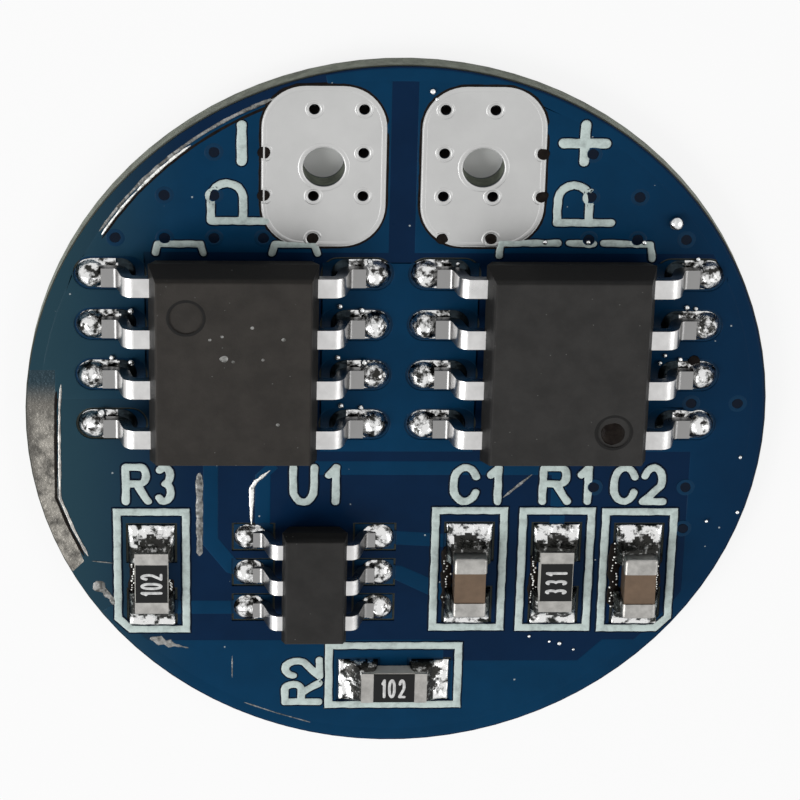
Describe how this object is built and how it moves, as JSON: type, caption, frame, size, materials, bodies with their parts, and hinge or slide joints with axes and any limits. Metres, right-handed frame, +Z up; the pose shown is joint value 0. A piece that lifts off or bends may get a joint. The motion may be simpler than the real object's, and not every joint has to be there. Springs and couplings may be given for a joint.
{
  "type": "battery protection board",
  "caption": "Round circuit board that guards one lithium cell, with wire terminals, power switches, a controller chip and chip resistors and capacitors.",
  "frame": {"origin": "centre of the round board, on the plane of the tinned pads of its underside", "axes": "+Z up out of the component side, +Y towards the two wire terminals, +X from the minus terminal to the plus terminal"},
  "size_m": [0.0174, 0.0174, 0.0022],
  "materials": {
    "laminate": "satin",
    "copper": "satin",
    "tin": "satin",
    "bare_tin": "rough",
    "mask": "gloss",
    "ink": "matte",
    "left_switch_moulding": "matte",
    "right_switch_moulding": "matte",
    "controller_moulding": "matte",
    "lead_metal": "satin",
    "silicon": "gloss",
    "bond_metal": "satin",
    "solder": "gloss",
    "alumina": "matte",
    "film": "matte",
    "glaze": "gloss",
    "end_cap": "satin",
    "capacitor_ceramic": "matte"
  },
  "bodies": {
    "root": {"laminate": "laminate", "via_barrels": "copper", "foil_top": "copper", "foil_underside": "copper", "terminal_minus": "tin", "terminal_plus": "tin", "cell_pad": "tin", "edge_strip": "bare_tin", "mask_top": "mask", "mask_underside": "mask", "legend": "ink", "left_switch_source_leads": "lead_metal", "left_switch_drain_frames": "lead_metal", "left_switch_dies": "silicon", "left_switch_bond_wires": "bond_metal", "left_switch_moulding": "left_switch_moulding", "left_switch_solder": "solder", "right_switch_source_leads": "lead_metal", "right_switch_drain_frames": "lead_metal", "right_switch_dies": "silicon", "right_switch_bond_wires": "bond_metal", "right_switch_moulding": "right_switch_moulding", "right_switch_solder": "solder", "controller_leads": "lead_metal", "controller_paddle": "lead_metal", "controller_die": "silicon", "controller_bond_wires": "bond_metal", "controller_moulding": "controller_moulding", "controller_solder": "solder", "first_resistor_ceramic": "alumina", "first_resistor_film": "film", "first_resistor_glaze": "glaze", "first_resistor_end_caps": "end_cap", "first_resistor_solder": "solder", "second_resistor_ceramic": "alumina", "second_resistor_film": "film", "second_resistor_glaze": "glaze", "second_resistor_end_caps": "end_cap", "second_resistor_solder": "solder", "third_resistor_ceramic": "alumina", "third_resistor_film": "film", "third_resistor_glaze": "glaze", "third_resistor_end_caps": "end_cap", "third_resistor_solder": "solder", "first_capacitor_ceramic": "capacitor_ceramic", "first_capacitor_end_caps": "end_cap", "first_capacitor_solder": "solder", "second_capacitor_ceramic": "capacitor_ceramic", "second_capacitor_end_caps": "end_cap", "second_capacitor_solder": "solder"}
  },
  "joints": []
}
